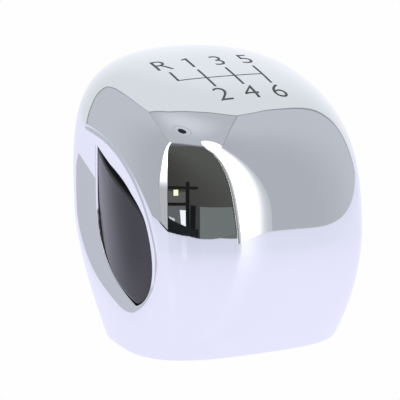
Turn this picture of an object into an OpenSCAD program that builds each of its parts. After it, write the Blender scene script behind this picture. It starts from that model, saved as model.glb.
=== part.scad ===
// Gear shift knob with a plated one-piece shell, two finger scoops with dark
// inlays, and a moulded core that carries the socket for the shift lever.
// The lever's axis is Z, Y points forward in the car and X to the driver's right.
// Z = 0 is the rim of the shell, the lowest face of the knob.

/* [Shell outside] */
// Width of the body at its waist
body_w = 50; // [46:0.5:54]
// Depth of the body at its waist, front to rear
body_d = 54.4; // [50:0.5:57]
// Height of the waist above the rim
waist_z = 22.8; // [20:0.5:25]
// Height of the crown above the waist
crown_h = 28.7; // [26:0.2:32]
// Width of the rim
foot_w = 43.4; // [42:0.2:45]
// Depth of the rim, front to rear
foot_d = 32.4; // [31:0.2:36]
// How square the plan of the body is: 2 is an ellipse
body_square = 2.95; // [2.6:0.05:3.4]
// How square the plan is at the top of the crown
crown_square = 2.15; // [2:0.05:3]
// How square the crown looks from the rear
crown_shoulder = 4.15; // [3.4:0.05:4.6]
// How square the crown looks from the side
crown_brow = 3.35; // [2.8:0.05:4]
// Rise of the crown for each millimetre forward
crown_tilt = 0.23; // [0.1:0.01:0.3]
// Forward lean of the body for each millimetre up
lean = 0.092; // [0:0.004:0.14]
// How late the skirt draws in, seen from the rear
skirt_bow_w = 1.4; // [1:0.1:2]
// How late the skirt draws in, seen from the side
skirt_bow_d = 2.05; // [1.5:0.05:3]
// Wall of the shell
wall = 2.2; // [1.8:0.1:2.6]

/* [Finger scoops] */
// Radius of the scoop's valley
scoop_r = 79; // [60:1:100]
// Depth of the valley below the widest point of the side
scoop_depth = 2.45; // [2:0.05:3]
// Height at which the valley's axis passes the lever
scoop_z = 24.8; // [23:0.2:27]
// Rise of the valley towards the front, in degrees
scoop_pitch = 22.6; // [16:0.2:28]
// Turn of the valley away from the side at the front, in degrees
scoop_yaw = 3.8; // [1:0.2:7]

/* [Inlays] */
// Top tip of the leaf, forward of the lever
tip_y = 5.3; // [4:0.1:6]
// Height of the top tip
tip_z = 38.4; // [37:0.2:39]
// Shoulder of the leaf, behind the lever
shoulder_y = 12.9; // [12:0.1:13.4]
// Height of the shoulder
shoulder_z = 27.8; // [26.6:0.2:29]
// Lower tip of the leaf, behind the lever
toe_y = 8.9; // [8:0.1:10]
// Height of the lower tip
toe_z = 10.3; // [9.7:0.1:12]
// Height of the inlay's convex face above the bottom of the scoop
inlay_rise = 0.85; // [0.6:0.05:1.2]
// Radius of the inlay's face, from front to rear
face_r = 37; // [32:1:60]
// Place of the highest line of the inlay's face, forward of the lever's axis
face_y = -1.4; // [-3:0.2:1]
// Angle by which the inlay's face leans outwards towards the crown
face_lean = 2.7; // [1:0.1:3.5]
// Width of the flange behind the edge of the window
flange_w = 1.2; // [0.8:0.1:1.6]
// Thickness of the flange
flange_t = 1.3; // [1:0.1:1.6]
// Thickness of the foam pad behind the inlay
pad_t = 1.0; // [0.6:0.1:1.4]
// Length of the core's seat behind the inlay
seat_l = 11; // [9:0.5:12]
// Height of the core's seat behind the inlay
seat_h = 13; // [10:0.5:13.5]
// Thickness of the core's seat behind the inlay
seat_t = 1.8; // [1.4:0.1:2.2]

/* [Lever socket] */
// Radius of the bore for the lever
bore_r = 6; // [5:0.25:6.5]
// Depth of the bore
bore_h = 30; // [26:0.5:32]
// Wall of the metal insert
insert_wall = 2; // [1.6:0.1:2.4]
// Thickness of the rubber buffer at the end of the bore
buffer_t = 1.6; // [1.2:0.1:2]
// Wall of the core's tube
tube_wall = 2.4; // [2.2:0.1:2.8]
// Diameter of the retaining clip's wire
clip_wire = 1.2; // [1:0.1:1.4]
// Height of the retaining clip
clip_z = 24; // [20:0.5:27]

/* [Core and fasteners] */
// Thickness of the core's deck
deck_t = 3; // [2.4:0.2:3.4]
// Width of the deck from left to right
deck_w = 34; // [32:0.5:35]
// Depth of the deck, which has to pass the rim
deck_d = 25; // [23:0.5:26]
// Thickness of the ribs
rib_t = 2; // [1.6:0.1:2.4]
// Screws from the lever's axis, left and right
screw_x = 12.4; // [11.6:0.2:13]
// Screws from the lever's axis, front and rear
screw_y = 8.2; // [7.4:0.2:9]
// Diameter of the screws
screw_d = 3; // [2.6:0.1:3.4]
// Length of the screws under the head
screw_l = 10; // [8:0.5:11]
// Thickness of the bottom cover
cover_t = 1.6; // [1.2:0.1:2]
// Depth of the bottom cover inside the rim
cover_recess = 1.4; // [0.8:0.1:1.8]

/* [Fits] */
// Gap between pieces that are fitted together
fit_gap = 0.1; // [0.05:0.01:0.15]
// Gap around the inlay in its window
window_gap = 0.12; // [0.08:0.01:0.2]

/* [Hidden] */

// Facets of the lofted shell, round and up
shell_sides = 72;
crown_rings = 15;
skirt_rings = 9;
cavity_sides = 48;
cavity_crown_rings = 9;
cavity_skirt_rings = 6;
leaf_steps = 12;

// Heights that several pieces share
insert_r = bore_r + insert_wall;
tube_r = insert_r + fit_gap + tube_wall;
buffer_r = bore_r - 1;
insert_cap = 2;
insert_top = bore_h + buffer_t + insert_cap;
deck_z = insert_top - 0.5;
deck_top = deck_z + deck_t;
cover_top = cover_recess + cover_t;
screw_r = screw_d / 2;
boss_r = screw_r + 1.9;
head_r = screw_r + 1.2;
head_h = 1.9;
cut = 60;

// Depths below the scoop's surface, from the outside in
flange_depth = wall + fit_gap;
pad_depth = flange_depth + flange_t;
seat_depth = pad_depth + pad_t;
pad_margin = 0.5;
leaf_reach = scoop_depth + flange_depth + flange_t + 6;

// Corners of the leaf, the pulls that shape its curves, and the middle from which it grows
leaf_tip = [tip_y, tip_z];
leaf_shoulder = [-shoulder_y, shoulder_z];
leaf_toe = [-toe_y, toe_z];
tip_pull_rear = [-5.6, -3.9];
tip_pull_front = [6.6, -18.8];
shoulder_pull_up = [3.5, 4.6];
shoulder_pull_down = [-0.6, -0.8];
toe_pull_rear = [-9.8, 3.7];
toe_pull_front = [10.9, 3.4];
leaf_mid = (leaf_tip + leaf_toe) / 2 + [-2, 0];

// Hooks of the bottom cover and the groove that they catch
hook_w = 6;
hook_t = 1.3;
hook_lip = 0.7;
hook_z = 9;
groove_h = 1.8;
groove_d = 0.8;

// Locking grooves of the metal insert
lock_pitch = 6;
lock_h = 1.6;
lock_d = 0.6;

// Power that keeps the sign of its base
function signed_pow(v, e) = sign(v) * pow(abs(v), e);

// Point of a superellipse at an angle
function plan_point(half_w, half_d, square, angle) =
    [half_w * signed_pow(cos(angle), 2 / square), half_d * signed_pow(sin(angle), 2 / square)];

// Point of the crown: u runs from 0 at the waist to 1 at the top, inset goes inwards
function crown_point(u, angle, inset) =
    let (half_w = (body_w / 2 - inset) * pow(max(0, 1 - pow(u, crown_shoulder)), 1 / crown_shoulder),
         half_d = (body_d / 2 - inset) * pow(max(0, 1 - pow(u, crown_brow)), 1 / crown_brow),
         square = body_square + (crown_square - body_square) * u * u,
         p = plan_point(half_w, half_d, square, angle),
         z = waist_z + (crown_h - inset + crown_tilt * p[1]) * u)
    [p[0], p[1] + lean * z, z];

// Point of the skirt: v runs from 0 at the waist to 1 at the rim
function skirt_point(v, angle, inset) =
    let (half_w = body_w / 2 - (body_w - foot_w) / 2 * pow(v, skirt_bow_w) - inset,
         half_d = body_d / 2 - (body_d - foot_d) / 2 * pow(v, skirt_bow_d) - inset,
         p = plan_point(half_w, half_d, body_square, angle),
         z = waist_z * (1 - v))
    [p[0], p[1] + lean * z, z];

// Closed skin through rings of points, from the lowest ring up to one apex
module skin(rings, apex) {
    n = len(rings[0]);
    top = (len(rings) - 1) * n;
    points = concat([for (ring = rings, p = ring) p], [apex]);
    sides = [for (i = [0 : len(rings) - 2], j = [0 : n - 1])
        let (a = i * n + j, b = i * n + (j + 1) % n)
        each [[a, a + n, b + n], [a, b + n, b]]];
    cap = [for (j = [0 : n - 1]) [top + j, len(points) - 1, top + (j + 1) % n]];
    floor_face = [for (j = [0 : n - 1]) j];
    polyhedron(points, concat([floor_face], sides, cap));
}

// The body as one solid, inset from the outside, running a little past the rim
module body_loft(inset, sides, crown_n, skirt_n) {
    overrun = 1 + 2 / waist_z;
    skirt = [for (i = [skirt_n : -1 : 1])
        [for (j = [0 : sides - 1]) skirt_point(overrun * i / skirt_n, 360 * j / sides, inset)]];
    crown = [for (i = [0 : crown_n - 1])
        let (u = pow(sin(90 * i / (crown_n - 0.4)), 2 / crown_shoulder))
        [for (j = [0 : sides - 1]) crown_point(u, 360 * j / sides, inset)]];
    skin(concat(skirt, crown), crown_point(1, 0, inset));
}

module cavity_loft(inset) {
    body_loft(inset, cavity_sides, cavity_crown_rings, cavity_skirt_rings);
}

// Cylinder of the left scoop's valley, deepened into the body
module scoop(depth) {
    translate([-(scoop_r + body_w / 2 - scoop_depth), 0, scoop_z])
        rotate([scoop_pitch - 90, 0, scoop_yaw])
            cylinder(r = scoop_r + depth, h = 150, center = true, $fn = 240);
}

// Everything that lies between two depths below the left scoop's surface
module scoop_layer(outer, inner) {
    difference() {
        scoop(inner);
        scoop(outer);
    }
}

// Point of a cubic curve
function cubic(a, b, c, d, t) =
    pow(1 - t, 3) * a + 3 * pow(1 - t, 2) * t * b + 3 * (1 - t) * t * t * c + pow(t, 3) * d;

// Curve between two corners of the leaf, without its last point
function leaf_edge(from, pull_out, pull_in, to) =
    [for (i = [0 : leaf_steps - 1]) cubic(from, from + pull_out, to + pull_in, to, i / leaf_steps)];

// Outline of the leaf in Y and Z, as it is seen from the side
leaf_outline = concat(
    leaf_edge(leaf_tip, tip_pull_rear, shoulder_pull_up, leaf_shoulder),
    leaf_edge(leaf_shoulder, shoulder_pull_down, toe_pull_rear, leaf_toe),
    leaf_edge(leaf_toe, toe_pull_front, tip_pull_front, leaf_tip));

// The leaf's outline moved outwards from its middle
function leaf_grown(d) =
    [for (p = leaf_outline) p + d * (p - leaf_mid) / norm(p - leaf_mid)];

// Prism of the leaf through the left side of the body
module leaf_prism(d) {
    translate([-body_w / 2 - 2, 0, 0])
        rotate([90, 0, 90])
            linear_extrude(leaf_reach + 2) polygon(leaf_grown(d));
}

module on_both_sides() {
    children();
    mirror([1, 0, 0]) children();
}

module at_screws() {
    for (x = [-screw_x, screw_x], y = [-screw_y, screw_y])
        translate([x, y, 0]) children();
}

// Hollow of the shell, which leaves the screw bosses standing under the crown
module shell_hollow() {
    difference() {
        cavity_loft(wall);
        on_both_sides() scoop(wall);
        at_screws() translate([0, 0, deck_top]) cylinder(r = boss_r, h = cut, $fn = 40);
    }
}

module chrome_shell() {
    color("gainsboro")
        difference() {
            body_loft(0, shell_sides, crown_rings, skirt_rings);
            translate([-cut, -cut, -cut]) cube([2 * cut, 2 * cut, cut]);
            on_both_sides() scoop(0);
            shell_hollow();
            on_both_sides() leaf_prism(0);
            at_screws() translate([0, 0, deck_top - 1])
                cylinder(r = screw_r + fit_gap / 2, h = screw_l - deck_t + 2, $fn = 32);
        }
}

// Face in the window, with a flange that lies behind the window's edge
// Cylinder whose left side is the convex face of the inlay
module inlay_face() {
    translate([face_r - body_w / 2 + scoop_depth - inlay_rise, face_y, scoop_z])
        rotate([0, -face_lean, 0])
            cylinder(r = face_r, h = 150, center = true, $fn = 240);
}

module inlay() {
    intersection() {
        leaf_prism(-window_gap);
        scoop(flange_depth + flange_t);
        inlay_face();
    }
    intersection() {
        leaf_prism(flange_w);
        scoop_layer(flange_depth, flange_depth + flange_t);
        cavity_loft(wall + fit_gap);
    }
}

module left_inlay() {
    color([0.10, 0.09, 0.12]) inlay();
}

module right_inlay() {
    color([0.10, 0.09, 0.12]) mirror([1, 0, 0]) inlay();
}

// Block from the tube to the left side, set on the middle of the leaf
module block_behind_leaf(length, height) {
    translate([-body_w / 2, leaf_mid[0] - length / 2, leaf_mid[1] - height / 2])
        cube([body_w / 2, length, height]);
}

module pad() {
    intersection() {
        block_behind_leaf(seat_l - 2 * pad_margin, seat_h - 2 * pad_margin);
        scoop_layer(pad_depth + fit_gap, seat_depth);
    }
}

module left_pad() {
    color([0.25, 0.25, 0.27]) pad();
}

module right_pad() {
    color([0.25, 0.25, 0.27]) mirror([1, 0, 0]) pad();
}

// Rib and curved seat that carry the inlay from the tube
module core_wing() {
    intersection() {
        block_behind_leaf(seat_l, seat_h);
        scoop_layer(seat_depth + fit_gap, seat_depth + fit_gap + seat_t);
    }
    difference() {
        union() {
            block_behind_leaf(rib_t, seat_h);
            block_behind_leaf(seat_l, rib_t);
        }
        scoop(seat_depth + fit_gap + seat_t / 2);
    }
}

// Slots beside the bore for the two legs of the retaining clip
module clip_slots() {
    slot_h = clip_wire + 3 * fit_gap;
    on_both_sides()
        translate([bore_r - 0.5, -cut, clip_z - slot_h / 2])
            cube([clip_wire + 0.9, 2 * cut, slot_h]);
}

// Round deck with flat sides that pass the rim, clear of the inlays' flanges
module core_deck() {
    difference() {
        intersection() {
            translate([0, 0, deck_z]) cylinder(r = deck_w / 2, h = deck_t, $fn = 96);
            translate([-cut, -deck_d / 2, 0]) cube([2 * cut, deck_d, cut]);
        }
        on_both_sides() scoop(pad_depth + fit_gap);
    }
}

module inner_core() {
    color([0.13, 0.13, 0.14])
        difference() {
            union() {
                cylinder(r = tube_r, h = deck_top, $fn = 96);
                core_deck();
                on_both_sides() core_wing();
                for (turn = [60, 90, 120, 240, 270, 300])
                    rotate([0, 0, turn]) translate([0, -rib_t / 2, deck_z - 8])
                        cube([deck_d / 2 - 0.3, rib_t, 8]);
            }
            translate([0, 0, -1]) cylinder(r = insert_r + fit_gap, h = insert_top + fit_gap + 1, $fn = 96);
            translate([0, 0, hook_z]) rotate_extrude($fn = 96)
                translate([tube_r - groove_d, 0]) square([groove_d + 1, groove_h]);
            clip_slots();
            at_screws() translate([0, 0, deck_z - cut / 2])
                cylinder(r = screw_r + 0.2, h = cut, $fn = 32);
        }
}

// Metal sleeve for the lever, with grooves that lock it in the core
module lever_insert() {
    color([0.72, 0.66, 0.42])
        difference() {
            cylinder(r = insert_r, h = insert_top, $fn = 96);
            translate([0, 0, -1]) cylinder(r = bore_r, h = bore_h + 1, $fn = 96);
            translate([0, 0, bore_h - 1]) cylinder(r = buffer_r + fit_gap, h = buffer_t + fit_gap + 1, $fn = 64);
            for (z = [lock_pitch : lock_pitch : clip_z - lock_pitch])
                translate([0, 0, z]) rotate_extrude($fn = 96)
                    translate([insert_r - lock_d, 0]) square([lock_d + 1, lock_h]);
            clip_slots();
        }
}

// Spring wire with two legs beside the bore and a round bend at the front
module retaining_clip() {
    leg_x = bore_r + fit_gap + clip_wire / 2;
    leg_back = tube_r - 1;
    leg_front = tube_r + 0.4 - leg_x / 2;
    color([0.6, 0.62, 0.65])
        translate([0, 0, clip_z]) {
            for (x = [-leg_x, leg_x])
                translate([x, -leg_back, 0]) rotate([-90, 0, 0])
                    cylinder(d = clip_wire, h = leg_back + leg_front, $fn = 32);
            translate([0, leg_front, 0]) rotate_extrude(angle = 180, $fn = 96)
                translate([leg_x, 0]) circle(d = clip_wire, $fn = 32);
        }
}

// Rubber disc that the tip of the lever presses on
module lever_buffer() {
    color([0.2, 0.2, 0.2])
        translate([0, 0, bore_h]) cylinder(r = buffer_r, h = buffer_t, $fn = 64);
}

// Plan of the hollow at the underside of the cover
function cover_outline() =
    let (v = 1 - cover_recess / waist_z)
    [for (j = [0 : shell_sides - 1])
        let (p = skirt_point(v, 360 * j / shell_sides, wall + 2 * fit_gap)) [p[0], p[1]]];

// Hook that stands on the cover and catches the groove of the core's tube
module cover_hook() {
    rise = hook_z + groove_h / 2 - cover_top;
    translate([tube_r + fit_gap, -hook_w / 2, cover_top]) cube([hook_t, hook_w, rise]);
    translate([tube_r + fit_gap - hook_lip, -hook_w / 2, hook_z + fit_gap])
        cube([hook_lip + 0.1, hook_w, groove_h / 2 - fit_gap]);
}

module bottom_cover() {
    color([0.16, 0.16, 0.17]) {
        difference() {
            translate([0, 0, cover_recess]) linear_extrude(cover_t) polygon(cover_outline());
            translate([0, 0, cover_recess - 1]) cylinder(r = tube_r + fit_gap, h = cover_t + 2, $fn = 96);
            on_both_sides() scoop(wall + fit_gap);
        }
        on_both_sides() cover_hook();
    }
}

module core_screws() {
    color([0.7, 0.7, 0.72])
        at_screws() difference() {
            union() {
                translate([0, 0, deck_z - head_h]) cylinder(r = head_r, h = head_h, $fn = 40);
                translate([0, 0, deck_z]) cylinder(r = screw_r, h = screw_l, $fn = 32);
            }
            for (turn = [0, 90])
                rotate([0, 0, turn]) translate([-head_r * 0.6, -0.35, deck_z - head_h - 0.1])
                    cube([head_r * 1.2, 0.7, 1.1]);
        }
}

chrome_shell();
left_inlay();
right_inlay();
left_pad();
right_pad();
inner_core();
lever_insert();
retaining_clip();
lever_buffer();
bottom_cover();
core_screws();
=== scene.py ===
import math

import bpy
import numpy as np
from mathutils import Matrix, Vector


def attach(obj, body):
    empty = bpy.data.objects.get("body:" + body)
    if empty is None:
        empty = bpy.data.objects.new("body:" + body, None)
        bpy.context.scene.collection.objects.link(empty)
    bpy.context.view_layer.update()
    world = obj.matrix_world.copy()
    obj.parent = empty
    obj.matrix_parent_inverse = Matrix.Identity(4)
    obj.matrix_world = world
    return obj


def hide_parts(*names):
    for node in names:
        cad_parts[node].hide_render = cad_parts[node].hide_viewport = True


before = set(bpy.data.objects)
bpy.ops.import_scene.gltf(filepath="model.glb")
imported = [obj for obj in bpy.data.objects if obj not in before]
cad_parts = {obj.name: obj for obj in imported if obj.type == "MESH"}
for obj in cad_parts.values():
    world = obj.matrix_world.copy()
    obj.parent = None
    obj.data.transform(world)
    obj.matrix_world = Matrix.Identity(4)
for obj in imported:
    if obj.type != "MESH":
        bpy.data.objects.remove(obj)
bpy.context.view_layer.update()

mm = 0.001
weldDistance = 2e-6  # in metres
scene = bpy.context.scene
print("frame loaded:", sorted(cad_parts))


# small helpers

def selectOnly(piece):
    if bpy.context.object and bpy.context.object.mode != "OBJECT":
        bpy.ops.object.mode_set(mode="OBJECT")
    bpy.ops.object.select_all(action="DESELECT")
    piece.select_set(True)
    bpy.context.view_layer.objects.active = piece


def applyModifiers(piece):
    selectOnly(piece)
    for modifier in list(piece.modifiers):
        bpy.ops.object.modifier_apply(modifier=modifier.name)


def joinPieces(name, parts):
    selectOnly(parts[0])
    for part in parts[1:]:
        part.select_set(True)
    if len(parts) > 1:
        bpy.ops.object.join()
    parts[0].name = name
    parts[0].data.name = name
    return parts[0]


def closed(grid):
    # the first column again at the end
    return np.concatenate([grid, grid[:, :1]], 1)


def placedGrid(name, rows, normals):
    # rows: points in mm, first index across the rows, second along them
    bpy.ops.object.select_all(action="DESELECT")
    bpy.ops.mesh.primitive_grid_add(x_subdivisions=rows.shape[1] - 1, y_subdivisions=rows.shape[0] - 1)
    piece = bpy.context.object
    piece.name = name
    piece.data.vertices.foreach_set("co", (rows.reshape(-1, 3) * mm).astype(np.float32).ravel())
    piece.data.update()
    layer = piece.data.attributes.new("formNormal", "FLOAT_VECTOR", "POINT")
    layer.data.foreach_set("vector", normals.reshape(-1, 3).astype(np.float32).ravel())
    return piece


def weldAndTurnOut(piece):
    selectOnly(piece)
    bpy.ops.object.mode_set(mode="EDIT")
    bpy.ops.mesh.select_all(action="SELECT")
    bpy.ops.mesh.remove_doubles(threshold=weldDistance)
    bpy.ops.mesh.dissolve_degenerate(threshold=weldDistance)
    bpy.ops.mesh.select_all(action="SELECT")
    bpy.ops.mesh.normals_make_consistent(inside=False)
    bpy.ops.object.mode_set(mode="OBJECT")


def useStoredNormals(piece):
    data = piece.data
    count = len(data.vertices)
    normals = np.zeros(count * 3, np.float32)
    places = np.zeros(count * 3, np.float32)
    data.attributes["formNormal"].data.foreach_get("vector", normals)
    data.vertices.foreach_get("co", places)
    normals = normals.reshape(-1, 3)
    normals[:, 0] *= np.where(places.reshape(-1, 3)[:, 0] > 1e-7, -1, 1)
    normals /= np.maximum(np.linalg.norm(normals, axis=1, keepdims=True), 1e-9)
    for face in data.polygons:
        face.use_smooth = True
    data.normals_split_custom_set_from_vertices([tuple(n) for n in normals])
    data.attributes.remove(data.attributes["formNormal"])


def unit(v):
    return v / np.linalg.norm(v, axis=-1, keepdims=True)


def halve(low, high, holds, times=36):
    # the last places from low to high at which holds is still true, found by halving
    for _ in range(times):
        half = (low + high) / 2
        keep = holds(half)
        low, high = np.where(keep, half, low), np.where(keep, high, half)
    return low


# form of the shell, in mm and degrees, as in the part's source

shellForm = {
    "width": 50.0, "depth": 54.4, "waist": 22.8, "crown": 28.7,
    "footWidth": 43.4, "footDepth": 32.4,
    "planPower": 2.95, "topPower": 2.15, "shoulderPower": 4.15, "browPower": 3.35,
    "tilt": 0.23, "lean": 0.092, "skirtPowerWide": 1.4, "skirtPowerDeep": 2.05,
    "wall": 2.2, "middle": (0.0, 2.2, 25.0), "farthest": 60.0, "lowest": 1.4,
    "scoopRadius": 79.0, "scoopDepth": 2.45, "scoopHeight": 24.8, "scoopPitch": 22.6, "scoopYaw": 3.8,
    "scoopEdgeRound": 0.45, "rimRound": 0.4, "lipRound": 0.4,
}

leafForm = {
    "tip": (5.3, 38.4), "shoulder": (-12.9, 27.8), "toe": (-8.9, 10.3),
    "tipPullRear": (-5.6, -3.9), "tipPullFront": (6.6, -18.8),
    "shoulderPullUp": (3.5, 4.6), "shoulderPullDown": (-0.6, -0.8),
    "toePullRear": (-9.8, 3.7), "toePullFront": (10.9, 3.4),
    "samples": 320, "fineSamples": (900, 900, 1400), "evenSamples": 4000, "cornerRound": 0.3, "startX": -22.5,
}


def crownRise(p, inset=0.0):
    # 0 at the waist, 1 at the crown's highest place
    s = shellForm
    y = p[..., 1] - s["lean"] * p[..., 2]
    return (p[..., 2] - s["waist"]) / (s["crown"] - inset + s["tilt"] * y)


def bodyAcross(p, inset=0.0):
    # how far out a point lies on its level of the body, less 1
    s = shellForm
    z = p[..., 2]
    y = p[..., 1] - s["lean"] * z
    rise = crownRise(p, inset)
    up = np.clip(rise, 0, 1 - 1e-9)
    down = np.clip((s["waist"] - z) / s["waist"], 0, s["lowest"])
    halfW, halfD = s["width"] / 2 - inset, s["depth"] / 2 - inset
    shoulder, brow = s["shoulderPower"], s["browPower"]
    halfW = np.where(z >= s["waist"], halfW * (1 - up ** shoulder) ** (1 / shoulder),
                     halfW - (s["width"] - s["footWidth"]) / 2 * down ** s["skirtPowerWide"])
    halfD = np.where(z >= s["waist"], halfD * (1 - up ** brow) ** (1 / brow),
                     halfD - (s["depth"] - s["footDepth"]) / 2 * down ** s["skirtPowerDeep"])
    power = s["planPower"] + (s["topPower"] - s["planPower"]) * up ** 2
    return (np.abs(p[..., 0] / halfW) ** power + np.abs(y / halfD) ** power) ** (1 / power) - 1


def bodyField(p, inset=0.0):
    # below 0 inside the body, above 0 outside, without the scoops
    return np.maximum(bodyAcross(p, inset), crownRise(p, inset) - 1)


def bodyDistance(p, inset=0.0):
    # first-order distance from the body's surface, and its outward normal
    step = 1e-6
    slope, top = (np.stack([field(p + np.array(axis) * step, inset) - field(p - np.array(axis) * step, inset)
                            for axis in ((1, 0, 0), (0, 1, 0), (0, 0, 1))], -1) / (2 * step)
                  for field in (bodyAcross, crownRise))
    slope = np.where((crownRise(p, inset) > 1 - 1e-6)[..., None], top, slope)
    length = np.maximum(np.linalg.norm(slope, axis=-1), 1e-12)
    return bodyField(p, inset) / length, slope / length[..., None]


scoopMiddle = np.array([-(shellForm["scoopRadius"] + shellForm["width"] / 2 - shellForm["scoopDepth"]),
                        0, shellForm["scoopHeight"]])
pitch, yaw = math.radians(shellForm["scoopPitch"]), math.radians(shellForm["scoopYaw"])
scoopAxis = np.array([-math.sin(yaw) * math.cos(pitch), math.cos(yaw) * math.cos(pitch), math.sin(pitch)])


def scoopDistance(p):
    # distance from the left scoop's surface, above 0 in the air of the scoop, and its outward normal
    arm = p - scoopMiddle
    arm = arm - (arm @ scoopAxis)[..., None] * scoopAxis
    length = np.linalg.norm(arm, axis=-1)
    return shellForm["scoopRadius"] - length, -arm / length[..., None]


def shellDistance(p):
    bodyD, bodyN = bodyDistance(p)
    scoopD, scoopN = scoopDistance(p)
    blend = shellForm["scoopEdgeRound"]
    share = np.clip(0.5 + 0.5 * (bodyD - scoopD) / blend, 0, 1)
    distance = scoopD * (1 - share) + bodyD * share + blend * share * (1 - share)
    normal = bodyN * share[..., None] + scoopN * (1 - share)[..., None]
    return distance, unit(normal)


middle = np.array(shellForm["middle"])


def castOut(directions, inset=0.0, scooped=True):
    # points on the body with its scoops, seen from the middle, and the normals there
    def inside(reach):
        p = middle + directions * reach[..., None]
        within = bodyField(p, inset) <= 0
        return within & (scoopDistance(p)[0] + inset <= 0) if scooped else within

    nearest, farthest = np.zeros(directions.shape[:-1]), np.full(directions.shape[:-1], shellForm["farthest"])
    p = middle + directions * halve(nearest, farthest, inside, 30)[..., None]
    normal = bodyDistance(p, inset)[1]
    if scooped:
        scoopD, scoopN = scoopDistance(p)
        normal = np.where((scoopD + inset > -1e-4)[..., None], scoopN, normal)
    return p, normal


def softenCrease(points, directions):
    # moves points near the crease onto its rounding
    reach = np.linalg.norm(points - middle, axis=-1)
    for _ in range(8):
        p = middle + directions * reach[..., None]
        distance, normal = shellDistance(p)
        reach = reach - distance / (normal * directions).sum(-1)
    p = middle + directions * reach[..., None]
    return p, shellDistance(p)[1]


def arcBetween(a, b, shares):
    # directions on the great circle from a to b
    angle = np.arccos(np.clip((a * b).sum(-1), -1, 1))[None, :, None]
    f = np.asarray(shares)[:, None, None]
    return unit((np.sin((1 - f) * angle) * a + np.sin(f * angle) * b) / np.maximum(np.sin(angle), 1e-9))


def onScoop(p, depth):
    # moves points onto the left scoop's cylinder, deepened
    arm = p - scoopMiddle
    along = (arm @ scoopAxis)[..., None] * scoopAxis
    return scoopMiddle + along + unit(arm - along) * (shellForm["scoopRadius"] + depth)


def cubicCurve(start, pullOut, pullIn, end, count):
    t = np.linspace(0, 1, count, endpoint=False)[:, None]
    a, d = np.array(start), np.array(end)
    b, c = a + np.array(pullOut), d + np.array(pullIn)
    return (1 - t) ** 3 * a + 3 * (1 - t) ** 2 * t * b + 3 * (1 - t) * t * t * c + t ** 3 * d


def leafCurve():
    # outline of the leaf in Y and Z, evenly spaced, with slightly rounded corners
    f = leafForm
    counts = f["fineSamples"]
    fine = np.concatenate([
        cubicCurve(f["tip"], f["tipPullRear"], f["shoulderPullUp"], f["shoulder"], counts[0]),
        cubicCurve(f["shoulder"], f["shoulderPullDown"], f["toePullRear"], f["toe"], counts[1]),
        cubicCurve(f["toe"], f["toePullFront"], f["tipPullFront"], f["tip"], counts[2])])

    def evenly(points, count):
        loop = np.vstack([points, points[:1]])
        run = np.concatenate([[0], np.cumsum(np.linalg.norm(np.diff(loop, axis=0), axis=1))])
        at = np.linspace(0, run[-1], count, endpoint=False)
        return np.stack([np.interp(at, run, loop[:, i]) for i in (0, 1)], 1), run[-1]

    points, length = evenly(fine, f["evenSamples"])
    width = f["cornerRound"] / (length / f["evenSamples"])
    offsets = np.arange(-int(4 * width), int(4 * width) + 1)
    weights = np.exp(-0.5 * (offsets / width) ** 2)
    weights /= weights.sum()
    smooth = sum(w * np.roll(points, -o, axis=0) for w, o in zip(weights, offsets))
    return evenly(smooth, f["samples"])[0]


# frames along the leaf's outline: place, normal, and the way outwards over the scoop

outline = leafCurve()
edge = onScoop(np.column_stack([np.full(len(outline), leafForm["startX"]), outline]), 0)
for _ in range(12):  # keep Y and Z, and find X on the scoop
    edge = onScoop(edge, 0)
    edge[:, 1:] = outline
edgeNormal = scoopDistance(edge)[1]
edgeTangent = unit(np.roll(edge, -1, axis=0) - np.roll(edge, 1, axis=0))
edgeOut = np.cross(edgeTangent, edgeNormal)
leafMiddle = edge.mean(0)
edgeOut *= np.sign((edgeOut * (edge - leafMiddle)).sum(-1, keepdims=True))
edgeOut = unit(edgeOut - (edgeOut * edgeNormal).sum(-1, keepdims=True) * edgeNormal)


def edgePoint(out, depth):
    # points beside the leaf's outline: out over the scoop, depth below it
    return onScoop(edge + edgeOut * out, depth)


# rows and columns of the shell's mesh, in mm where they are lengths
shellMesh = {
    "widestTurn": 1.45, "steepness": (0.6, 1.5),  # radians, between which creases and rims are sought
    "rimSamples": 400, "crownSamples": 600, "spread": 14.0, "spreadReach": 60,
    "fanRows": 8, "sideRows": 46, "innerRows": 17, "innerCrowding": 1.3, "roundRows": 6,
    "creaseOffsets": (-1.3, -0.9, -0.6, -0.35, -0.17, 0, 0.17, 0.35, 0.6, 0.9, 1.3),
    "bodyRadius": 26.0, "creaseShare": 0.8, "chamfer": 0.08, "wallDepths": (1.5, 0.9),
    "rimSpare": 0.1, "endSpare": 0.3, "bend": 0.1,
}


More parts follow.
